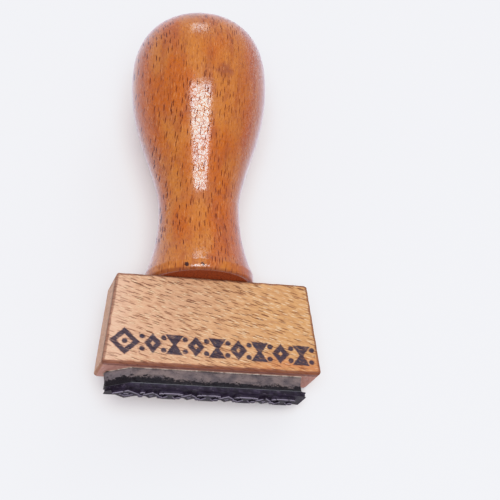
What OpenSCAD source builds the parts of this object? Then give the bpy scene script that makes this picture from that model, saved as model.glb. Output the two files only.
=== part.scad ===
// Wooden hand stamp: a turned beech handle screwed to a flat beech block, with a grey
// sponge rubber cushion and a black rubber printing plate cemented under it.
// +Z runs up along the handle, X runs along the printed row, and the front faces -Y.
// The origin is the centre of the printing face. Units are millimetres.

/* [Block] */
// Width of the block at its foot
block_foot_w = 50; // [30:0.5:90]
// Width of the block at its top
block_top_w = 44; // [26:0.5:86]
// Height of the block
block_h = 21; // [14:0.5:34]
// Thickness of the block, front to back
block_d = 12; // [10:0.5:24]
// Radius of the four corners seen from the front
corner_r = 0.8; // [0.2:0.1:2]
// Width of the chamfer along the front and back edges
arris = 0.5; // [0.1:0.1:1.2]

/* [Handle] */
// Radius of the bulb at its widest
bulb_r = 16; // [12:0.25:22]
// Height of the widest point of the bulb above the block
bulb_at = 50; // [40:0.5:70]
// Height of the dome above the widest point
dome_h = 17.8; // [12:0.1:26]
// Squareness of the dome: 2 is an ellipse, more is fuller
dome_power = 2.5; // [2:0.01:3]
// Radius of the waist
waist_r = 9.35; // [6:0.05:12]
// Height of the waist above the block
waist_at = 19.2; // [12:0.1:28]
// How full the shoulder is between waist and bulb, lower is fuller
shoulder_power = 0.83; // [0.6:0.01:1.2]
// Radius of the rim at the handle's foot
rim_r = 12.5; // [10:0.05:18]
// Height of the top of the rim above the block
rim_h = 2.2; // [1.5:0.1:6]
// Radius that rounds the lower edge of the rim
rim_round = 0.9; // [0.3:0.1:1.4]
// How late the foot flares out, higher is later
flare_power = 2.3; // [1.5:0.05:4]
// Distance of the handle's axis from the block's middle, along X
handle_shift = -2; // [-4:0.1:4]

/* [Cushion] */
// Thickness of the sponge cushion
cushion_h = 3.3; // [2:0.1:6]
// How far cushion and plate stand back from the block's front and back
strip_inset = 2.3; // [0.6:0.1:2.4]
// How far cushion and plate stand back from the left end of the block's foot
left_inset = 1.9; // [1:0.1:3]
// How far the cushion stands back from the right end of the block's foot
right_inset = 4; // [1.6:0.1:5]
// Length of the corner cut off the strip, along X
trim_x = 5; // [0.5:0.1:5.3]
// Depth of the corner cut off the strip, along Y
trim_y = 5; // [0.5:0.1:6]
// Thickness of each film of rubber cement
cement_h = 0.1; // [0.05:0.01:0.3]

/* [Printing plate] */
// How far the plate runs past the cushion at the right
plate_over = 1; // [0:0.1:1.5]
// Thickness of the plate's sheet behind the motif
sheet_h = 1; // [0.6:0.1:2]
// Height of the raised motif
relief_h = 0.8; // [0.4:0.1:1.2]
// Bare edge of the plate in front of and behind the leading ornament
row_margin = 0.7; // [0.3:0.05:1.2]
// Least bare edge of the plate at either end of the row
end_margin = 1.5; // [1:0.1:3]
// How much shorter the other ornaments are than the leading one, at each side
unit_drop = 0.8; // [0.2:0.05:1]
// Half the width of the other ornaments
unit_half_w = 1.7; // [1.3:0.05:2.2]
// Gap between one ornament and the next
unit_gap = 0.9; // [0.7:0.05:1.5]
// Line width of the open ornaments
stroke = 0.9; // [0.6:0.05:1.1]
// Half the width of an hourglass at its neck
neck_half = 0.35; // [0.2:0.05:0.6]
// Radius of the dots
dot_r = 0.5; // [0.3:0.05:0.6]

/* [Screw] */
// Diameter of the screw's thread
screw_d = 4; // [3:0.5:5]
// Length of the screw
screw_l = 32; // [29:0.5:40]
// Diameter of the screw's head
head_d = 7.6; // [6:0.2:9]
// Depth of the screw's head below the block's underside
head_sunk = 0.4; // [0.1:0.1:1]
// Width of the slot in the head
slot_w = 1; // [0.6:0.1:1.4]
// Length of the smooth shank under the head
shank_l = 12; // [8:0.5:16]
// Height from one thread ridge to the next
thread_step = 1.6; // [1:0.1:2.4]
// Depth of the thread
thread_depth = 0.55; // [0.3:0.05:0.8]
// Clearance between the screw and the wood
screw_fit = 0.03; // [0.01:0.01:0.2]

/* [Hidden] */
plate_top = relief_h + sheet_h;
cushion_z = plate_top + cement_h;
block_z = cushion_z + cushion_h + cement_h;
handle_z = block_z + block_h;
strip_d = block_d - 2 * strip_inset;
strip_left = left_inset - block_foot_w / 2;
cushion_right = block_foot_w / 2 - right_inset;
plate_right = cushion_right + plate_over;
// The row of ornaments: a large leading one, then as many others as the plate holds
lead_half = strip_d / 2 - row_margin;
unit_half = lead_half - unit_drop;
pitch = 2 * unit_half_w + unit_gap;
dots_y = 0.64 * unit_half;
left_count = floor((-strip_left - end_margin - 2 * lead_half - unit_half_w - unit_gap) / pitch);
right_count = floor((plate_right - end_margin - dot_r) / pitch - 0.5);
lead_x = -left_count * pitch - unit_half_w - unit_gap - lead_half;
// The screw's head is sunk in the block, and its tip stands in the handle's pilot hole
head_h = (head_d - screw_d) / 2;
head_z = block_z + head_sunk;
tip_h = screw_d;
tip_room = 0.5;
screw_reach = head_z + screw_l - handle_z;
cut = 1;
$fn = 96;

// The handle's outline, from the middle of its foot up to the top of the dome
function foot_round() = [for (i = [0:6]) let (a = 90 * i / 6)
    [rim_r - rim_round + rim_round * sin(a), rim_round - rim_round * cos(a)]];
function flare() = [for (i = [0:24]) let (t = i / 24)
    [waist_r + (rim_r - waist_r) * pow(1 - t, flare_power), rim_h + (waist_at - rim_h) * t]];
function shoulder() = [for (i = [1:30]) let (t = i / 30)
    [waist_r + (bulb_r - waist_r) * (1 - cos(180 * pow(t, shoulder_power))) / 2,
     waist_at + (bulb_at - waist_at) * t]];
function dome() = [for (i = [1:23]) let (a = 90 * i / 24)
    [bulb_r * pow(cos(a), 2 / dome_power), bulb_at + dome_h * pow(sin(a), 2 / dome_power)]];
outline = concat([[0, 0]], foot_round(), flare(), shoulder(), dome(), [[0, bulb_at + dome_h]]);

// The trapezoid with rounded corners: an arc at each corner, tangent to both edges
lean = atan(block_h / ((block_foot_w - block_top_w) / 2));
function corner(x, z, from, to) = [for (i = [0:8]) let (a = from + (to - from) * i / 8)
    [x + corner_r * cos(a), z + corner_r * sin(a)]];
foot_in = corner_r / tan(lean / 2);
top_in = corner_r * tan(lean / 2);
block_face = concat(
    corner(block_foot_w / 2 - foot_in, corner_r, -90, 90 - lean),
    corner(block_top_w / 2 - top_in, block_h - corner_r, 90 - lean, 90),
    corner(-block_top_w / 2 + top_in, block_h - corner_r, 90, 90 + lean),
    corner(-block_foot_w / 2 + foot_in, corner_r, 90 + lean, 270));

module handle() {
    color([0.72, 0.42, 0.2])
        translate([handle_shift, 0, handle_z])
            difference() {
                rotate_extrude() polygon(outline);
                translate([0, 0, -cut]) cylinder(h = screw_reach + tip_room + cut, r = screw_d / 2 + screw_fit);
            }
}

// The block seen from the side, with a chamfer along each long edge
block_side = [for (end = [-1, 1]) each [
    [end * block_d / 2, end < 0 ? block_h - arris : arris],
    [end * block_d / 2, end < 0 ? arris : block_h - arris],
    [end * (block_d / 2 - arris), end < 0 ? 0 : block_h],
    [-end * (block_d / 2 - arris), end < 0 ? 0 : block_h]]];

module mount_block() {
    color([0.85, 0.66, 0.5])
        translate([0, 0, block_z])
            difference() {
                intersection() {
                    rotate([90, 0, 0]) linear_extrude(height = block_d, center = true) polygon(block_face);
                    rotate([90, 0, 90]) linear_extrude(height = block_foot_w, center = true) polygon(block_side);
                }
                translate([handle_shift, 0, 0]) screw_hole();
            }
}

module screw_hole() {
    seat_r = head_d / 2 + screw_fit;
    shank_r = screw_d / 2 + screw_fit;
    translate([0, 0, -cut]) cylinder(h = block_h + 2 * cut, r = shank_r);
    translate([0, 0, -cut]) cylinder(h = head_sunk + cut, r = seat_r);
    translate([0, 0, head_sunk]) cylinder(h = seat_r - shank_r, r1 = seat_r, r2 = shank_r);
}

module handle_screw() {
    root_r = screw_d / 2 - thread_depth;
    turns = floor((screw_l - tip_h - shank_l) / thread_step);
    ridges = [for (i = [0:turns - 1]) each [
        [root_r, shank_l + i * thread_step],
        [screw_d / 2, shank_l + (i + 0.45) * thread_step],
        [screw_d / 2, shank_l + (i + 0.55) * thread_step]]];
    shank = [[0, 0], [head_d / 2, 0], [screw_d / 2, head_h], [screw_d / 2, shank_l - thread_depth]];
    tip = [[root_r, screw_l - tip_h], [0, screw_l]];
    color([0.7, 0.7, 0.72])
        translate([handle_shift, 0, head_z])
            difference() {
                rotate_extrude() polygon(concat(shank, ridges, tip));
                cube([head_d + cut, slot_w, head_h], center = true);
            }
}

// The strip seen from above, with its front left corner cut off
module strip(right) {
    polygon([[strip_left + trim_x, -strip_d / 2], [right, -strip_d / 2], [right, strip_d / 2],
             [strip_left, strip_d / 2], [strip_left, -strip_d / 2 + trim_y]]);
}

module cushion_cement() {
    color([0.8, 0.74, 0.6])
        translate([0, 0, block_z - cement_h]) linear_extrude(height = cement_h) strip(cushion_right);
}

module cushion() {
    color([0.42, 0.39, 0.39])
        translate([0, 0, cushion_z]) linear_extrude(height = cushion_h) strip(cushion_right);
}

module plate_cement() {
    color([0.3, 0.28, 0.26])
        translate([0, 0, plate_top]) linear_extrude(height = cement_h) strip(cushion_right);
}

module lozenge(half_w, half_h) {
    polygon([[half_w, 0], [0, half_h], [-half_w, 0], [0, -half_h]]);
}

module open_lozenge(half_w, half_h) {
    inset = stroke * sqrt(half_w * half_w + half_h * half_h) / half_h;
    difference() {
        lozenge(half_w, half_h);
        lozenge(half_w - inset, half_h - inset * half_h / half_w);
    }
}

module hourglass(half_w, half_h) {
    polygon([[-half_w, half_h], [-neck_half, 0], [-half_w, -half_h],
             [half_w, -half_h], [neck_half, 0], [half_w, half_h]]);
}

// A border of lozenges, hourglasses and dots, led by one large lozenge
module motif() {
    translate([lead_x, 0]) {
        open_lozenge(lead_half, lead_half);
        circle(r = dot_r, $fn = 32);
    }
    for (k = [-left_count:right_count])
        translate([k * pitch, 0])
            if (k % 2 == 0) hourglass(unit_half_w, unit_half);
            else open_lozenge(unit_half_w, unit_half);
    for (k = [-left_count:right_count + 1], side = [-1, 1])
        translate([(k - 0.5) * pitch, side * dots_y]) circle(r = dot_r, $fn = 32);
}

module relief_plate() {
    color([0.13, 0.13, 0.18]) {
        translate([0, 0, relief_h]) linear_extrude(height = sheet_h) strip(plate_right);
        linear_extrude(height = relief_h + sheet_h / 2) motif();
    }
}

handle();
mount_block();
handle_screw();
cushion_cement();
cushion();
plate_cement();
relief_plate();
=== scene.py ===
import math

import bpy
import numpy as np
from mathutils import Matrix, Vector


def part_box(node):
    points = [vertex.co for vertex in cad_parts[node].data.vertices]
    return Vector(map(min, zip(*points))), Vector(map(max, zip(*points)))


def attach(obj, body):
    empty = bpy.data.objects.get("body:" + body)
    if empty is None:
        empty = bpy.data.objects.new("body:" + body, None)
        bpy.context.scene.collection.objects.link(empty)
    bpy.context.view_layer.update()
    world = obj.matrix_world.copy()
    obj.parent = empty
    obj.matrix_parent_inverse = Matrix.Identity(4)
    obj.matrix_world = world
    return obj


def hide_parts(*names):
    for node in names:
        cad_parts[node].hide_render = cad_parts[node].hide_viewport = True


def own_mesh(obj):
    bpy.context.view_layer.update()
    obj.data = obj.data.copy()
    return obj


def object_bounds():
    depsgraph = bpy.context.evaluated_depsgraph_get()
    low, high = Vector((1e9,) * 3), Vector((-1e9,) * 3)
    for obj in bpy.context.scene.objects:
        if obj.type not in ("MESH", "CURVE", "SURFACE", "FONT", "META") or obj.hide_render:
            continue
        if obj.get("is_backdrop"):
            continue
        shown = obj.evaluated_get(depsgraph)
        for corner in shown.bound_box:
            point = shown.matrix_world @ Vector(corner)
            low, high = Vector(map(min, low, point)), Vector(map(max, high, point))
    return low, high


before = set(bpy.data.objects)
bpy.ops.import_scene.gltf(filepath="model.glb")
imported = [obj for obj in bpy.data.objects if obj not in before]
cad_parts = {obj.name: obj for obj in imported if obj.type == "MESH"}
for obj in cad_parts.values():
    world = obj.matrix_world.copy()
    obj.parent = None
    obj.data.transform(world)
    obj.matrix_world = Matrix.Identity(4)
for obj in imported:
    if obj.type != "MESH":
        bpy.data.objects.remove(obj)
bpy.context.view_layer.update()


# ---------------------------------------------------------------- table, light and standpoint
# The table is a plain white board. The stamp lies on it, on the side of its bulb and its rim.
# It isn't part of the stamp, and it shows from above only, so that the stamp's back can be seen.

class Shade:
    """Wraps one socket of a material. Arithmetic on it adds the Math nodes that work it out."""

    def __init__(self, tree, socket=None):
        self.tree = tree
        self.socket = socket

    def node(self, kind, settings, sockets, out=0):
        """Adds a node: its settings first, then its sockets' values or links. Gives one output."""
        made = self.tree.nodes.new("ShaderNode" + kind)
        for name, value in settings.items():
            setattr(made, name, value)
        for name, value in sockets.items():
            if isinstance(value, Shade):
                self.tree.links.new(value.socket, made.inputs[name])
            else:
                made.inputs[name].default_value = value
        return Shade(self.tree, made.outputs[out]) if made.outputs else None

    def beside(self, out):
        """Another output of the same node."""
        return Shade(self.tree, self.socket.node.outputs[out])

    def math(self, operation, first, second=0.0):
        """One Math node on two numbers."""
        return self.node("Math", {"operation": operation}, {0: first, 1: second})

    def __add__(self, other):
        return self.math("ADD", self, other)

    def __sub__(self, other):
        return self.math("SUBTRACT", self, other)

    def __rsub__(self, other):
        return self.math("SUBTRACT", other, self)

    def __mul__(self, other):
        return self.math("MULTIPLY", self, other)

    def __truediv__(self, other):
        return self.math("DIVIDE", self, other)

    def __abs__(self):
        return self.math("ABSOLUTE", self)

    __radd__ = __add__
    __rmul__ = __mul__

    def most(self, other):
        return self.math("MAXIMUM", self, other)

    def least(self, other):
        return self.math("MINIMUM", self, other)

    def fade(self, start, end):
        """0 up to start and 1 from end on, with a smooth step between them."""
        sockets = {"Value": self, "From Min": start, "From Max": end}
        return self.node("MapRange", {"interpolation_type": "SMOOTHSTEP"}, sockets)

    def mixed(self, none, full):
        """The colour none where this is 0, and the colour full where it is 1."""
        return self.node("Mix", {"data_type": "RGBA"}, {0: self, 6: none, 7: full}, 2)


def new_material(name):
    """A material with no nodes yet, and the Shade that its first nodes are made from."""
    material = bpy.data.materials.new(name)
    material.use_nodes = True
    material.node_tree.nodes.clear()
    return material, Shade(material.node_tree)


def add_to_scene(name, data):
    """An object that holds the data, at the origin."""
    made = bpy.data.objects.new(name, data)
    bpy.context.scene.collection.objects.link(made)
    return made


def tint(red, green, blue):
    """A colour as the shader wants it, from the 0 to 255 values of a paint chart."""
    chart = np.array([red, green, blue]) / 255
    linear = np.where(chart > 0.04045, ((chart + 0.055) / 1.055) ** 2.4, chart / 12.92)
    return (*linear.tolist(), 1.0)


handle_low, handle_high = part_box("handle")
axis_x = (handle_low.x + handle_high.x) / 2
rim_r = 0.0125
rim_up = 0.002
table_gap = 0.0002
table_facing = Vector((-0.1809, -0.9808, 0.0739)).normalized()
table_way = (table_facing.x * axis_x + table_facing.z * (handle_low.z + rim_up)
             - rim_r * math.hypot(table_facing.x, table_facing.y) - table_gap)
table_half = 1.5
across = table_facing.cross(Vector((0, 0, 1))).normalized() * table_half
along = table_facing.cross(across)
middle = table_facing * table_way
corners = [middle - across - along, middle + across - along,
           middle + across + along, middle - across + along]
board = bpy.data.meshes.new("table")
board.from_pydata([tuple(c) for c in corners], [], [(0, 1, 2, 3)])
if board.polygons[0].normal.dot(table_facing) < 0:
    board.flip_normals()
table = add_to_scene("table", board)
white_board, start = new_material("white_board")
lit = start.node("BsdfDiffuse", {}, {"Color": (0.88, 0.88, 0.885, 1)})
clear = start.node("BsdfTransparent", {}, {})
under = start.node("NewGeometry", {}, {}, "Backfacing")
start.node("OutputMaterial", {}, {"Surface": start.node("MixShader", {}, {0: under, 1: lit, 2: clear})})
board.materials.append(white_board)
table.visible_diffuse = False  # the board sends no light back and casts no shade, so that it
table.visible_shadow = False   # doesn't darken the stamp's back
table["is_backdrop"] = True


def soft_light(name, towards, distance, width, watts, colour, lights=True, shines=True):
    """A square light that stands in a direction from the stamp's middle and faces it. It can be
    one that only lights the surfaces, or one that only shines in their gloss."""
    lamp = bpy.data.lights.new(name, "AREA")
    lamp.size = width
    lamp.energy = watts
    lamp.color = colour
    way = Vector(towards).normalized()
    stand = add_to_scene(name, lamp)
    stand.matrix_world = way.to_track_quat("Z", "Y").to_matrix().to_4x4()
    stand.location = Vector((0, 0, 0.05)) + way * distance
    stand.visible_diffuse = lights
    stand.visible_glossy = shines


soft_light("window", (-0.17, -0.94, -0.18), 1.0, 0.6, 7.3, (1, 0.99, 0.975), shines=False)
soft_light("window_gleam", (-0.155, -0.978, -0.1), 1.0, 0.6, 24, (0.88, 0.95, 1.03), lights=False)
soft_light("far_window", (0.35, -0.42, 0.78), 1.4, 0.8, 4.8, (1, 0.99, 0.98), shines=False)
soft_light("far_gleam", (-0.06, -0.36, 0.93), 1.4, 0.48, 5.5, (0.9, 0.97, 1), lights=False)
room = bpy.data.worlds.new("room")
bpy.context.scene.world = room
room.use_nodes = True
room.node_tree.nodes["Background"].inputs["Color"].default_value = (0.84, 0.83, 0.93, 1)
room.node_tree.nodes["Background"].inputs["Strength"].default_value = 0.72
film = bpy.context.scene.view_settings
film.view_transform = "Standard"
film.use_curve_mapping = True
film.curve_mapping.clip_max_x = 1.6
film.curve_mapping.extend = "HORIZONTAL"
for curve, white in zip(film.curve_mapping.curves, (0.9, 0.91, 0.935)):
    curve.points[1].location = (1.25, white)
    curve.points.new(0.68, 0.68)
    curve.points.new(0.85, 0.8)
    curve.points.new(1.0, 0.86 + (white - 0.9) * 0.6)
film.curve_mapping.update()

lens = bpy.data.cameras.new("camera")
lens.lens = 108
lens.sensor_width = 36
lens.clip_start = 0.01
camera = add_to_scene("camera", lens)
looks = Vector((0.24111, 0.90811, 0.34234)).normalized()
to_right = looks.cross(Vector((-0.07535, -0.33417, 0.93950))).normalized()
camera.matrix_world = Matrix((to_right, to_right.cross(looks), -looks)).transposed().to_4x4()
camera.location = (-0.07417, -0.31793, -0.08363)
bpy.context.scene.camera = camera


# ---------------------------------------------------------------- handle
# The handle is one piece of beech turned on a lathe, with its grain along the axis. It is
# stained orange-brown and varnished to a gloss. A pilot bore in its foot takes the screw.

def skin(name, rings):
    """A closed mesh from an array of rings of points. Each ring joins the next with four-sided
    faces, and a fan from its middle closes the first and the last one."""
    rows, columns = rings.shape[:2]
    here = np.arange(rows * columns).reshape(rows, columns)
    beside = np.roll(here, -1, axis=1)
    tips = np.full((2, columns), rows * columns) + [[0], [1]]
    walls = np.stack([here[:-1], beside[:-1], beside[1:], here[1:]], axis=2).reshape(-1, 4)
    fans = [np.stack([beside[0], here[0], tips[0]], axis=1),
            np.stack([here[-1], beside[-1], tips[1]], axis=1)]
    points = np.concatenate([rings.reshape(-1, 3), rings[[0, -1]].mean(axis=1)])
    mesh = bpy.data.meshes.new(name)
    mesh.from_pydata(points.tolist(), [], walls.tolist() + fans[0].tolist() + fans[1].tolist())
    mesh.shade_smooth()
    mesh.set_sharp_from_angle(angle=math.radians(50))
    return add_to_scene(name, mesh)


def turned(radius, height, columns):
    """Rings round the Z axis: x is radius times the cosine, y radius times the sine, z height."""
    angle = np.linspace(0, 2 * np.pi, columns, endpoint=False)
    return np.stack([np.outer(radius, np.cos(angle)), np.outer(radius, np.sin(angle)),
                     np.outer(height, np.ones(columns))], axis=2)


bulb_r = 16.0
bulb_at = 50.0
dome_h = 17.8
dome_power = 2.5
waist_r = 9.35
waist_at = 19.2
shoulder_power = 0.83
foot_r = 12.5
rim_h = 2.2
rim_round = 0.9
flare_power = 2.3
bore_r = 2.03
bore_h = 11.9
facets = 240
step = np.linspace(0, 1, 60)
turn = np.radians(np.linspace(0, 90, 48))
bore = [(0.3, bore_h), (1.2, bore_h), (bore_r, bore_h), (bore_r, bore_h / 2), (bore_r, 0)]
foot = [(r, 0) for r in np.linspace(bore_r + 0.6, foot_r - rim_round, 12)]
under_turn = turn[1::6]
under_rim = [foot_r - rim_round + rim_round * np.sin(under_turn), rim_round - rim_round * np.cos(under_turn)]
rim = [np.full(5, foot_r), np.linspace(rim_round, rim_h, 5)]
flare = [waist_r + (foot_r - waist_r) * (1 - step) ** flare_power, rim_h + (waist_at - rim_h) * step]
shoulder = [waist_r + (bulb_r - waist_r) * (1 - np.cos(np.pi * step ** shoulder_power)) / 2,
            waist_at + (bulb_at - waist_at) * step]
dome = [bulb_r * np.cos(turn) ** (2 / dome_power), bulb_at + dome_h * np.sin(turn) ** (2 / dome_power)]
outline = np.concatenate([bore, foot, np.transpose(under_rim), np.transpose(rim)[1:],
                          np.transpose(flare)[1:], np.transpose(shoulder)[1:], np.transpose(dome)[1:-1]])
rings = turned(outline[:, 0], outline[:, 1], facets)
rings[..., 0] += axis_x * 1000
rings[..., 2] += handle_low.z * 1000
handle = skin("turned_handle", rings / 1000)


def millimetres(start, centre, turn=(0, 0, 0)):
    """Where a point of the piece is, in millimetres from a centre, after a turn about it."""
    where = start.node("TexCoord", {}, {}, "Object")
    return start.node("Mapping", {"vector_type": "TEXTURE"},
                      {"Vector": where, "Location": centre, "Rotation": turn, "Scale": (0.001,) * 3})


def cloud(point, changes, detail=2.0, roughness=0.5):
    """Soft noise, mostly from 0.3 to 0.7, with so many changes in a millimetre along X, Y and Z."""
    spread = point.node("VectorMath", {"operation": "MULTIPLY"}, {0: point, 1: changes})
    return point.node("TexNoise", {}, {"Vector": spread, "Scale": 1.0,
                                       "Detail": detail, "Roughness": roughness})


def flecks(point, spacing, half, share):
    """Spindles of wood, 1 in their middle and 0 outside them. The space is cut into cells of
    that spacing, and a share of them hold one: a point's offset from its cell's seed, divided
    by the spindle's half sizes, has a length below 1 inside it."""
    cells = point.node("VectorMath", {"operation": "DIVIDE"}, {0: point, 1: spacing})
    seed = point.node("TexVoronoi", {}, {"Vector": cells, "Scale": 1.0}, "Position")
    offset = point.node("VectorMath", {"operation": "SUBTRACT"}, {0: cells, 1: seed})
    scale = tuple(s / h for s, h in zip(spacing, half))
    offset = point.node("VectorMath", {"operation": "MULTIPLY"}, {0: offset, 1: scale})
    reach = point.node("VectorMath", {"operation": "LENGTH"}, {0: offset}, "Value")
    chance = point.node("SeparateColor", {}, {"Color": seed.beside("Color")}, "Red")
    return reach.fade(1.0, 0.6) * chance.fade(1 - share, 1.04 - share)


def principled(start, sockets):
    """The finished surface: one Principled shader with those sockets, led to the output."""
    start.node("OutputMaterial", {}, {"Surface": start.node("BsdfPrincipled", {}, sockets)})


def bump(start, height, depth):
    """The surface's tilt from a height of 0 to 1 that stands for a depth in metres."""
    return start.node("Bump", {}, {"Height": height, "Strength": 1.0, "Distance": depth})


varnished_beech, start = new_material("varnished_beech")
point = millimetres(start, (axis_x, 0, handle_low.z), (0.02, 0.03, 0))
side = start.node("SeparateXYZ", {}, {0: point}, "X")
up = side.beside("Z")
crowd = cloud(point, (0.09, 0.09, 0.05)).fade(0.36, 0.56)
crowded_waist = up.fade(34, 24) * up.fade(5, 10) * side.fade(9, 2)
crowd = crowd.most(crowded_waist) * (1 - 0.5 * side.fade(2, 10) * up.fade(28, 40))
spindles = flecks(point, (0.72, 1.8, 2.6), (0.12, 1.1, 1.1), 0.85) * (0.2 + 0.8 * crowd)
pores = flecks(point, (0.38, 0.9, 1.2), (0.08, 0.5, 0.45), 0.55)
shiny = flecks(start.node("VectorMath", {"operation": "ADD"}, {0: point, 1: (7.3, 2.9, 11.7)}),
               (0.6, 1.5, 2.2), (0.09, 0.8, 0.8), 0.5)
fibres = cloud(point, (3.2, 3.2, 0.22), 3.0, 0.6)
streaks = cloud(point, (0.55, 0.55, 0.035), 2.0).fade(0.46, 0.7)
patches = cloud(point, (0.13, 0.13, 0.06), 2.0).fade(0.4, 0.62)
colour = patches.mixed(tint(184, 106, 38), tint(176, 86, 14))
blush = cloud(point, (0.15, 0.15, 0.1), 3.0, 0.6).fade(0.5, 0.66)
colour = (blush * 0.45).mixed(colour, tint(150, 74, 44))
colour = (streaks * 0.5).mixed(colour, tint(142, 66, 28))
colour = (fibres.fade(0.5, 0.8) * 0.4).mixed(colour, tint(134, 62, 24))
colour = (fibres.fade(0.42, 0.26) * 0.3).mixed(colour, tint(206, 128, 60))
stain_at = (1.4, -15.9, 48.1)
stain = point.node("VectorMath", {"operation": "DISTANCE"}, {0: point, 1: stain_at}, "Value")
stain = (stain + 3 * cloud(point, (0.5, 0.5, 0.5))).fade(4.6, 2.2)
colour = (stain * 0.75).mixed(colour, tint(112, 48, 36))
colour = (shiny * 0.45).mixed(colour, tint(214, 138, 80))
colour = (pores * 0.6).mixed(colour, tint(104, 44, 14))
colour = spindles.mixed(colour, tint(84, 30, 8))
# Painted shade: the handle is made darker and a deeper orange towards its right side, +X.
colour = (side.fade(0, 12) * 0.5).mixed(colour, tint(150, 60, 6))
# Painted shade: the lowest millimetre of the foot, the rounding under the rim, is made dark red-brown, as
# the shade between the foot and the block.
colour = (up.fade(1.0, 0.3) * 0.6).mixed(colour, tint(96, 32, 4))
craze = start.node("TexVoronoi", {"feature": "DISTANCE_TO_EDGE"}, {"Vector": point, "Scale": 1.1})
craze = craze.fade(0.1, 0.025)
peel = cloud(point, (1.7, 1.7, 1.4), 3.0, 0.65)
varnish_height = peel - 0.35 * spindles - 0.3 * craze
gloss = (0.46 + 0.5 * peel.fade(0.35, 0.65)) * (1 - 0.85 * craze) * (1 - spindles)
nick = start.node("VectorMath", {"operation": "DISTANCE"}, {0: point, 1: (-5.4, -11.3, 1.3)}, "Value")
other_nick = start.node("VectorMath", {"operation": "DISTANCE"}, {0: point, 1: (-1.9, -12.4, 1.45)}, "Value")
dented = (nick.least(other_nick + 0.15) + 2.2 * (peel - 0.5)).fade(0.6, 0.35)
colour = dented.mixed(colour, tint(52, 18, 8))
principled(start, {
    "Base Color": colour,
    "Roughness": 0.4 + 0.2 * peel,
    "Specular IOR Level": 0.03,
    "Coat Weight": gloss,
    "Coat Roughness": 0.17,
    "Coat IOR": 1.5,
    "Sheen Weight": 0.9,
    "Sheen Roughness": 0.36,
    "Sheen Tint": (0.76, 0.78, 0.94, 1),
    "Normal": bump(start, varnish_height, 0.00006),
})
handle.data.materials.append(varnished_beech)

# The bore and the foot's underside are left bare, with no varnish. Their darker red-brown is
# painted shade, for the underside that faces the block. The first faces of the skin are theirs,
# and so is the fan that closes the bore.
bare_and_shaded_foot, start = new_material("bare_and_shaded_foot")
point = millimetres(start, (axis_x, 0, handle_low.z))
pores = cloud(point, (2.6, 2.6, 0.6), 3.0, 0.6)
principled(start, {
    "Base Color": pores.fade(0.4, 0.6).mixed(tint(150, 66, 26), tint(112, 44, 18)),
    "Roughness": 0.6 + 0.2 * pores,
    "Specular IOR Level": 0.1,
    "Normal": bump(start, pores, 0.00005),
})
handle.data.materials.append(bare_and_shaded_foot)
finish = np.zeros(len(handle.data.polygons), np.int32)
finish[:(len(bore) + len(foot) - 1) * facets] = 1
finish[-2 * facets:-facets] = 1
handle.data.polygons.foreach_set("material_index", finish)
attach(handle, "stamp")
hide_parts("handle")


# ---------------------------------------------------------------- mount block
# The block is sawn from beech and left bare. Its grain lies across it at a slant. Its edges are
# worn round, and the plate's border is printed on its front as a label.

block_low, block_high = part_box("mount_block")
block_top_w = 44.0
block_foot_w = 50.0
block_d, block_h = (block_high - block_low).yz * 1000
corner_r = 0.8


def ripple(length, seed, waves):
    """Random waves round a closed outline, from about -1 to 1: a sum of sines that each run a
    whole number of times round it. length is the share of the way round."""
    draw = np.random.default_rng(seed)
    count = np.arange(1, waves + 1)
    phase = draw.uniform(0, 2 * np.pi, waves)
    high = draw.uniform(0.4, 1, waves)
    return (np.sin(2 * np.pi * np.outer(length, count) + phase) * high).sum(axis=1) / np.sqrt(waves)


def rounded(corners, radius, spacing):
    """The outline through the corners, in their order: a straight run with points at the
    spacing along each side, and an arc of that radius at each corner. Gives (point, xy)."""
    corners = np.array(corners, float)
    ahead = np.roll(corners, -1, axis=0) - corners
    ahead /= np.linalg.norm(ahead, axis=1)[:, None]
    behind = np.roll(ahead, 1, axis=0)
    bend = np.arctan2(behind[:, 0] * ahead[:, 1] - behind[:, 1] * ahead[:, 0], (behind * ahead).sum(axis=1))
    cut = radius * np.tan(np.abs(bend) / 2)
    inwards = np.stack([-behind[:, 1], behind[:, 0]], axis=1)
    middles = corners - behind * cut[:, None] + np.sign(bend)[:, None] * radius * inwards
    share = np.linspace(0, 1, 9)
    pieces = []
    for i in range(len(corners)):
        start_way = math.atan2(behind[i, 1], behind[i, 0]) - math.copysign(math.pi / 2, bend[i])
        angle = start_way + bend[i] * share
        arc = middles[i] + radius * np.stack([np.cos(angle), np.sin(angle)], axis=1)
        end = corners[(i + 1) % len(corners)] - ahead[i] * cut[(i + 1) % len(corners)]
        count = max(2, int(np.linalg.norm(end - arc[-1]) / spacing))
        run = arc[-1] + np.outer(np.linspace(0, 1, count + 1)[1:-1], end - arc[-1])
        pieces += [arc, run]
    return np.concatenate(pieces)


def outward(loop):
    """The way out of a closed outline that runs against the clock, at each of its points."""
    side = np.roll(loop, -1, axis=0) - np.roll(loop, 1, axis=0)
    side /= np.linalg.norm(side, axis=1)[:, None]
    return np.stack([side[:, 1], -side[:, 0]], axis=1)


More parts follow.
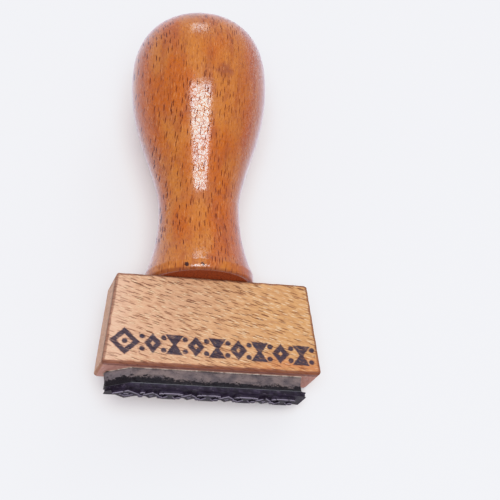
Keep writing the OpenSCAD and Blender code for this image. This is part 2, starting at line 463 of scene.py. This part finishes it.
half_foot = block_foot_w / 2
half_top = block_top_w / 2
face = rounded([(-half_foot, 0), (half_foot, 0), (half_top, block_h), (-half_top, block_h)], corner_r, 0.5)
way_out = outward(face)
length = np.linspace(0, 1, len(face), endpoint=False)
foot_wear = 0.22 * (face[:, 1] < corner_r / 2)
arris = np.clip(0.42 + foot_wear + 0.13 * ripple(length, 3, 60), 0.2, 0.76)
arris_back = np.clip(0.42 + foot_wear + 0.13 * ripple(length, 4, 60), 0.2, 0.76)
spread = 1 - np.linspace(1, 0, 14) ** 1.7 * 0.98
quarter = np.radians(np.linspace(0, 90, 8))
middle = np.array([0, block_h / 2])
front_edge = face - way_out * arris[:, None]
back_edge = face - way_out * arris_back[:, None]
half_d = block_d / 2
rows = [np.insert(middle + (front_edge - middle) * s, 1, -half_d, axis=1) for s in spread]
rows += [np.insert(front_edge + way_out * (arris * math.sin(q))[:, None], 1,
                   -half_d + arris * (1 - math.cos(q)), axis=1) for q in quarter[1:]]
rows += [np.insert(face, 1, (-half_d + arris) * (1 - s) + (half_d - arris_back) * s, axis=1)
         for s in np.linspace(0, 1, 16)[1:]]
rows += [np.insert(back_edge + way_out * (arris_back * math.cos(q))[:, None], 1,
                   half_d - arris_back * (1 - math.sin(q)), axis=1) for q in quarter[1:]]
rows += [np.insert(middle + (back_edge - middle) * s, 1, half_d, axis=1) for s in spread[::-1][1:]]
rows = np.array(rows)[:, ::-1]
wear = np.zeros(len(rows))
front_arris, back_arris = slice(13, 22), slice(36, 45)
wear[front_arris] = 1
wear[back_arris] = 1
rows[..., 2] += block_low.z * 1000
block = skin("beech_block", rows / 1000)
worn = block.data.attributes.new("worn", "FLOAT", "POINT")
worn.data.foreach_set("value", np.append(np.repeat(wear, len(face)), [0, 0]).astype(np.float32))

head_r = 3.83
hole_r = 2.03
sunk = 0.4
drill = np.array([(0.4, -1), (head_r, -1), (head_r, sunk), (hole_r, sunk + head_r - hole_r),
                  (hole_r, block_h + 1), (0.4, block_h + 1)])
rings = turned(drill[:, 0], drill[:, 1] + block_low.z * 1000, 64)
rings[..., 0] += axis_x * 1000
drill_bit = skin("drill_bit", rings / 1000)
drilled = block.modifiers.new("screw_hole", "BOOLEAN")
drilled.operation = "DIFFERENCE"
drilled.solver = "EXACT"
drilled.object = drill_bit
bored = bpy.data.meshes.new_from_object(block.evaluated_get(bpy.context.evaluated_depsgraph_get()))
block.modifiers.clear()
block.data = bored
bpy.data.objects.remove(drill_bit)

bare_beech, start = new_material("bare_beech")
slant = math.radians(15)
point = millimetres(start, (0, -0.006, block_low.z))
grain = start.node("Mapping", {"vector_type": "POINT"},
                   {"Vector": point, "Rotation": (0, math.radians(-90) - slant, 0)})
dark_flecks = flecks(grain, (0.52, 1.8, 2.8), (0.11, 1.0, 1.2), 0.9)
light_flecks = flecks(start.node("VectorMath", {"operation": "ADD"}, {0: grain, 1: (31.7, 4.1, 9.3)}),
                      (0.55, 1.8, 2.2), (0.13, 1.0, 0.85), 0.8)
fibres = cloud(grain, (3.0, 3.0, 0.3), 3.0, 0.6)
streaks = cloud(grain, (1.3, 1.3, 0.36), 3.0, 0.65)
patches = cloud(point, (0.06, 0.06, 0.09), 2.0)
across = start.node("SeparateXYZ", {}, {0: point}, "X")
up = across.beside("Z")
deep = across.beside("Y")
colour = (across + 18 * patches).fade(-16, 30).mixed(tint(206, 156, 122), tint(194, 139, 84))
colour = (fibres.fade(0.45, 0.75) * 0.5).mixed(colour, tint(150, 100, 66))
colour = (streaks.fade(0.52, 0.32) * 0.5).mixed(colour, tint(136, 80, 44))
colour = (streaks.fade(0.54, 0.7) * 0.55).mixed(colour, tint(220, 178, 136))
colour = (light_flecks * 0.75).mixed(colour, tint(236, 198, 156))
colour = (dark_flecks * 0.8).mixed(colour, tint(106, 56, 30))
# Painted light: the block is made paler and pinker towards its left end.
colour = (across.fade(-16, -24) * 0.4).mixed(colour, tint(230, 182, 154))
warm = cloud(point, (0.14, 0.14, 0.25), 3.0).fade(0.4, 0.58) * across.fade(0, 20) * up.fade(7, 1)
colour = (warm * 0.55).mixed(colour, tint(190, 104, 54))
# Painted shade: the block's lowest 1.7 mm, its bottom arris and underside, is made a darker orange-brown,
# with a ragged upper edge.
low_band_shade = (up + 1.2 * streaks).fade(1.7, 1.0)
colour = (low_band_shade * 0.7).mixed(colour, tint(136, 70, 34))
# Painted light: the block's underside is made paler and pinker.
colour = (up.fade(0.14, 0.03) * 0.5).mixed(colour, tint(222, 166, 156))
edge = start.node("Attribute", {"attribute_name": "worn"}, {}, "Fac")
colour = (edge * (0.25 + 0.9 * streaks)).mixed(colour, tint(98, 50, 34))


def lozenge(wide, high, half_w, half_h):
    """How far inside a lozenge a point is, in millimetres: below 0 in it, from its slanted sides."""
    slope = half_w * half_h / math.hypot(half_w, half_h)
    return (abs(wide) / half_w + abs(high) / half_h - 1) * slope


lead_half = 3.0
unit_half = 2.2
unit_half_w = 1.7
neck_half = 0.35
dot_r = 0.5
label_dots = 1.4
label_stroke = 0.95
label_x = -18.5
pitch = 4.3
stretch = 1.13
label_up = 4.75
smudge = cloud(grain, (1.1, 1.1, 0.35), 3.0, 0.7) - 0.5
blot = cloud(point, (0.9, 0.9, 0.9), 3.0, 0.65) - 0.5
wide = (across - 0.85) / stretch + 0.5 * blot
high = up - label_up + 0.024 * across + 0.6 * smudge
lead = abs(lozenge(wide - label_x, high, lead_half, lead_half) + label_stroke / 2) - label_stroke / 2
dot = start.math("SQRT", (wide - label_x) * (wide - label_x) + high * high) - dot_r
shape = lead.least(dot)
beat = start.math("WRAP", wide, 0.0)
beat.socket.node.inputs[1].default_value = pitch
beat.socket.node.inputs[2].default_value = -pitch
small = lozenge(abs(beat) - pitch, high, unit_half_w, unit_half)
small = abs(small + label_stroke / 2) - label_stroke / 2
flank = neck_half + abs(high) * ((unit_half_w - neck_half) / unit_half)
glass = (abs(beat) - flank).most(abs(high) - unit_half)
side = abs(abs(beat) - pitch / 2)
dots = start.math("SQRT", side * side + (abs(high) - label_dots) * (abs(high) - label_dots)) - dot_r
row = small.least(glass).least(dots)
row_middle, row_half, row_half_high = 2.15, 17.71, 3.2
outside = (abs(wide - row_middle) - row_half).most(abs(high) - row_half_high)
shape = shape.least(row.most(outside))
ink = shape.fade(0.24, -0.1)
patchy = cloud(grain, (1.8, 1.8, 0.6), 4.0, 0.7).fade(0.3, 0.5)
ink = ink * (0.68 + 0.32 * patchy) * deep.fade(0.6, 0.3)
ink_colour = cloud(point, (0.8, 0.8, 0.8)).fade(0.4, 0.6).mixed(tint(22, 16, 42), tint(42, 24, 40))
colour = (ink * 0.97).mixed(colour, ink_colour)
wood_height = fibres + 0.6 * light_flecks - 0.9 * dark_flecks
principled(start, {
    "Base Color": colour,
    "Roughness": 0.5 + 0.2 * fibres - 0.15 * light_flecks,
    "IOR": 1.45,
    "Specular IOR Level": 0.2,
    "Normal": bump(start, wood_height, 0.00012),
})
block.data.materials.clear()
block.data.materials.append(bare_beech)
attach(block, "stamp")
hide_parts("mount_block")


# ---------------------------------------------------------------- handle screw
# A slotted countersunk steel wood screw, 4 by 32 mm. It goes up through the block into the
# handle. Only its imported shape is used, because the cushion hides it.

screw_steel, start = new_material("screw_steel")
point = millimetres(start, (axis_x, 0, 0))
brushed = cloud(point, (2.0, 2.0, 6.0), 3.0)
principled(start, {
    "Base Color": brushed.fade(0.3, 0.7).mixed(tint(150, 148, 145), tint(196, 194, 190)),
    "Metallic": 1.0,
    "Roughness": 0.28 + 0.2 * brushed,
})
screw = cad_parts["handle_screw"]
screw.data.materials.clear()
screw.data.materials.append(screw_steel)


# ---------------------------------------------------------------- cushion cement
# A film of rubber cement holds the cushion on the block. Where it squeezed out, it dried as
# small pale beads along the joint, and it has taken up dust.

glue_low, glue_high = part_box("cushion_cement")
strip_left, strip_y = glue_low.x * 1000, glue_high.y * 1000
cushion_right = glue_high.x * 1000
trim_x = 5.0
trim_y = 5.0


def strip(right, radius, spacing):
    """The strip's outline from above, against the clock, with its front left corner cut off."""
    return rounded([(strip_left + trim_x, -strip_y), (right, -strip_y), (right, strip_y),
                    (strip_left, strip_y), (strip_left, -strip_y + trim_y)], radius, spacing)


def stacked(loop, offset, height):
    """Rings over each other: the outline moved out by each row of offset, at each row of height."""
    flat = loop + offset[..., None] * outward(loop)
    return np.concatenate([flat, height[..., None]], axis=2)


loop = strip(cushion_right, 0.25, 0.25)
length = np.linspace(0, 1, len(loop), endpoint=False)
bead = np.clip(0.09 * ripple(length, 11, 60) - 0.02, 0, 0.3)
film_low, film_high = glue_low.z * 1000, glue_high.z * 1000
flat = np.zeros_like(bead)
offset = np.array([flat - 3.2, flat - 1.5, flat, 0.6 * bead, bead, bead, 0.5 * bead, flat - 1.5, flat - 3.2])
film_bottom, film_top = flat + film_low, flat + film_high
height = np.array([film_bottom, film_bottom, film_bottom, film_low - 0.9 * bead, film_low - 0.3 * bead,
                   film_top - 0.01, film_top, film_top, film_top])
cement = skin("cushion_glue", stacked(loop, offset, height) / 1000)
dried_cement, start = new_material("dried_cement")
point = millimetres(start, (0, 0, 0))
dust = cloud(point, (0.7, 0.7, 0.7), 3.0, 0.6)
principled(start, {
    "Base Color": dust.fade(0.4, 0.6).mixed(tint(196, 186, 170), tint(110, 92, 78)),
    "Roughness": 0.45 + 0.3 * dust,
    "Normal": bump(start, dust, 0.00005),
})
cement.data.materials.append(dried_cement)
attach(cement, "stamp")
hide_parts("cushion_cement")


# ---------------------------------------------------------------- cushion
# A strip of grey sponge rubber, 3.3 mm thick, cut with a knife, so its sides show cut cells
# and nicks. It gives under the hand when the plate meets the paper.

pad_low, pad_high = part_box("cushion")
loop = strip(cushion_right, 0.3, 0.19)
steps = np.linalg.norm(np.roll(loop, -1, axis=0) - loop, axis=1)
run = np.concatenate([[0], np.cumsum(steps)[:-1]])
around = steps.sum()
low, high = pad_low.z * 1000, pad_high.z * 1000
rise = np.linspace(0, 1, 18)
edge_r = 0.18
draw = np.random.default_rng(21)
pits = 230
pit_run = draw.uniform(0, around, pits)
pit_up = draw.uniform(0.1, 0.95, pits)
pit_wide = draw.uniform(0.12, 0.42, pits)
pit_high = draw.uniform(0.08, 0.2, pits)
pit_deep = draw.uniform(0.05, 0.3, pits)
apart = run[:, None] - pit_run
apart -= around * np.round(apart / around)
above = (rise[:, None, None] - pit_up) * (high - low)
dents = pit_deep * np.exp(-(apart / pit_wide) ** 2 - (above / pit_high) ** 2)
hollow = 0.16 * np.sin(np.pi * rise)[:, None] * (1 + 0.3 * ripple(run / around, 23, 9))
waves = 0.05 * ripple(run / around, 22, 40)
wall = -0.06 - hollow + waves - dents.sum(axis=2)
from_edge = np.minimum(rise, 1 - rise) * (high - low)
tuck = edge_r * (1 - np.sqrt(np.clip(1 - (1 - from_edge / edge_r) ** 2, 0, 1)))
wall = wall - np.where(from_edge < edge_r, tuck, 0)[:, None]
cap = np.array([-3.2, -2.4, -1.2, -0.6])[:, None] + np.zeros(len(run))
offset = np.concatenate([cap, wall, cap[::-1]])
height = np.concatenate([np.full(4, low), low + (high - low) * rise, np.full(4, high)])
height = height[:, None] + np.zeros(len(run))
pad = skin("sponge_cushion", stacked(loop, offset, height) / 1000)

sponge_rubber, start = new_material("sponge_rubber")
point = millimetres(start, (0, 0, pad_low.z))
up = start.node("SeparateXYZ", {}, {0: point}, "Z")
across = up.beside("X")
cells = start.node("TexVoronoi", {}, {"Vector": point, "Scale": 4.5}, "Distance")
crumbs = cloud(point, (2.5, 2.5, 2.5), 4.0, 0.65)
patches = cloud(point, (0.35, 0.35, 0.6), 3.0)
colour = patches.fade(0.35, 0.65).mixed(tint(120, 107, 105), tint(88, 80, 83))
colour = (crumbs.fade(0.55, 0.75) * 0.5).mixed(colour, tint(58, 54, 56))
# Painted shade: dark streaks stand for the shade inside the knife's nicks in the cut sides.
nick_shade = cloud(point, (0.5, 0.5, 2.2), 4.0, 0.7).fade(0.59, 0.66)
colour = (nick_shade * 0.7).mixed(colour, tint(34, 32, 38))
# Painted light: the cut face at the left corner is made paler, as if lit.
colour = (across.fade(-17.4, -18.6) * 0.5).mixed(colour, tint(118, 110, 114))
smear_high = 1.05 + across.fade(-5, -13) * 0.6 + 2.4 * (cloud(point, (0.3, 0.3, 1.1), 4.0, 0.65) - 0.5)
smear_high = smear_high + 3.2 * (cloud(point, (1.2, 1.2, 1.8), 4.0, 0.7) - 0.5)
smear = (up - smear_high).fade(0.3, -0.3)
colour = (smear * 0.95).mixed(colour, tint(15, 12, 19))
principled(start, {
    "Base Color": colour,
    "Roughness": 0.8 - 0.3 * smear,
    "Specular IOR Level": 0.06,
    "Normal": bump(start, crumbs + 0.6 * cells, 0.00012),
})
pad.data.materials.append(sponge_rubber)
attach(pad, "stamp")
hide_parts("cushion")
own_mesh(pad)


# ---------------------------------------------------------------- plate cement
# The same rubber cement joins the printing plate to the cushion. Its film is a tenth of a
# millimetre thick, and ink has stained it dark.

stained_cement, start = new_material("stained_cement")
point = millimetres(start, (0, 0, 0))
dust = cloud(point, (0.9, 0.9, 0.9), 3.0, 0.6)
principled(start, {
    "Base Color": dust.fade(0.4, 0.65).mixed(tint(22, 20, 27), tint(44, 40, 46)),
    "Roughness": 0.4 + 0.2 * dust,
})
thin_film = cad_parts["plate_cement"]
thin_film.data.materials.clear()
thin_film.data.materials.append(stained_cement)


# ---------------------------------------------------------------- printing plate
# The plate is moulded rubber, black, with a raised border of lozenges, hourglasses and dots. Its
# faces are wet with violet-black ink, and the sloping shoulders of the relief are pale grey.

plate_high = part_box("relief_plate")[1]
plate_right = plate_high.x * 1000
plate_top = plate_high.z * 1000
relief_h = 0.8
shoulder_w = 0.3
dots_y = 0.64 * unit_half
stroke = 0.9
left_count = 3
right_count = 4
columns = 480
lanes = 84
share_y = np.linspace(-1, 1, lanes)
lane_y = share_y * strip_y
plate_corner_r = 0.35


def plate_ends(y):
    """Where the plate's left and right ends are at each y. Its corners are rounded: near a side
    the end draws back by the radius less the arc's height, and the left end keeps the trimmed cut."""
    past = np.clip((np.abs(y) - strip_y + plate_corner_r) / plate_corner_r, 0, 1)
    drawn_back = plate_corner_r * (1 - np.sqrt(1 - past * past))
    trimmed = np.clip(trim_y - strip_y - y, 0, None) * trim_x / trim_y
    return strip_left + np.maximum(trimmed, drawn_back), plate_right - drawn_back


share = np.linspace(0, 1, columns)[:, None]
left_end, right_end = plate_ends(lane_y)
x = left_end * (1 - share) + right_end * share
y = np.broadcast_to(lane_y, x.shape)


def in_lozenge(x, y, half_w, half_h):
    """How far a point is outside a lozenge, from its slanted sides: below 0 in it."""
    return (np.abs(x) / half_w + np.abs(y) / half_h - 1) * half_w * half_h / math.hypot(half_w, half_h)


def open_lozenge(x, y, half_w, half_h):
    """How far a point is outside a lozenge's line, which lies inside its slanted sides."""
    return np.abs(in_lozenge(x, y, half_w, half_h) + stroke / 2) - stroke / 2


def hourglass(x, y):
    """How far a point is outside an hourglass: its sides run from the neck to its flat ends."""
    lean = (unit_half_w - neck_half) / unit_half
    sides = (np.abs(x) - neck_half - np.abs(y) * lean) / math.hypot(1, lean)
    return np.maximum(sides, np.abs(y) - unit_half)


away = np.minimum(open_lozenge(x - label_x, y, lead_half, lead_half), np.hypot(x - label_x, y) - dot_r)
for k in range(-left_count, right_count + 2):
    away = np.minimum(away, np.hypot(x - (k - 0.5) * pitch, np.abs(y) - dots_y) - dot_r)
    if k > right_count:
        continue
    if k % 2 == 0:
        away = np.minimum(away, hourglass(x - k * pitch, y))
    else:
        away = np.minimum(away, open_lozenge(x - k * pitch, y, unit_half_w, unit_half))
slope = np.clip(away / shoulder_w, 0, 1)
ground = relief_h * slope * slope * (3 - 2 * slope)
droop = 0.18 * np.clip((x - (plate_right - 2.2)) / 2.2, 0, 1) ** 2
printing = np.stack([x, y, ground - droop], axis=2)
side_rise = np.array([0.12, 0.35, 0.65, 0.9])
top_lanes = 16
flat_y = np.linspace(1, -1, top_lanes)
height = plate_top - droop[:, :1] * 0.5


def plate_side(edge):
    """The plate's cut side from its printing face up to its top, at one edge of the strip."""
    low_points = printing[:, edge]
    up_side = np.repeat(low_points[:, None], len(side_rise), axis=1)
    up_side[..., 2] += (height - low_points[:, 2:3]) * side_rise
    rough = 1.5 + ripple(share[:, 0], 31 + edge, 30)
    up_side[..., 1] *= 1 - 0.012 * np.sin(np.pi * side_rise) * rough[:, None]
    return up_side


left_end, right_end = plate_ends(flat_y * strip_y)
top_size = (columns, top_lanes)
top = np.stack([left_end * (1 - share) + right_end * share,
                np.broadcast_to(flat_y * strip_y, top_size), np.broadcast_to(height, top_size)], axis=2)
rings = np.concatenate([printing, plate_side(-1), top, plate_side(0)[:, ::-1]], axis=1)
plate = skin("printing_rubber", rings / 1000)

inked_rubber, start = new_material("inked_rubber")
point = millimetres(start, (0, 0, 0))
up = start.node("SeparateXYZ", {}, {0: point}, "Z")
wet = cloud(point, (0.6, 0.6, 0.9), 3.0, 0.6)
grain = cloud(point, (3.0, 3.0, 3.0), 3.0, 0.6)
colour = wet.fade(0.4, 0.62).mixed(tint(26, 19, 30), tint(42, 34, 50))
dusty = cloud(point, (0.9, 0.9, 1.6), 4.0, 0.7).fade(0.56, 0.66)
colour = (dusty * 0.35).mixed(colour, tint(96, 88, 100))
# The lower part of the relief's sloping shoulders, up to about 0.28 mm above the printing face, is made pale
# grey in patches.
pale_shoulders = up.fade(0.004, 0.05) * up.fade(0.28, 0.1) * cloud(point, (0.6, 0.6, 0.6), 3.0).fade(0.3, 0.44)
colour = (pale_shoulders * 0.85).mixed(colour, tint(150, 142, 158))
principled(start, {
    "Base Color": colour,
    "Roughness": 0.34 + 0.3 * wet + 0.15 * pale_shoulders,
    "Specular IOR Level": 0.05,
    "Normal": bump(start, grain, 0.00005),
})
plate.data.materials.append(inked_rubber)
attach(plate, "plate")
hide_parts("relief_plate")

low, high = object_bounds()
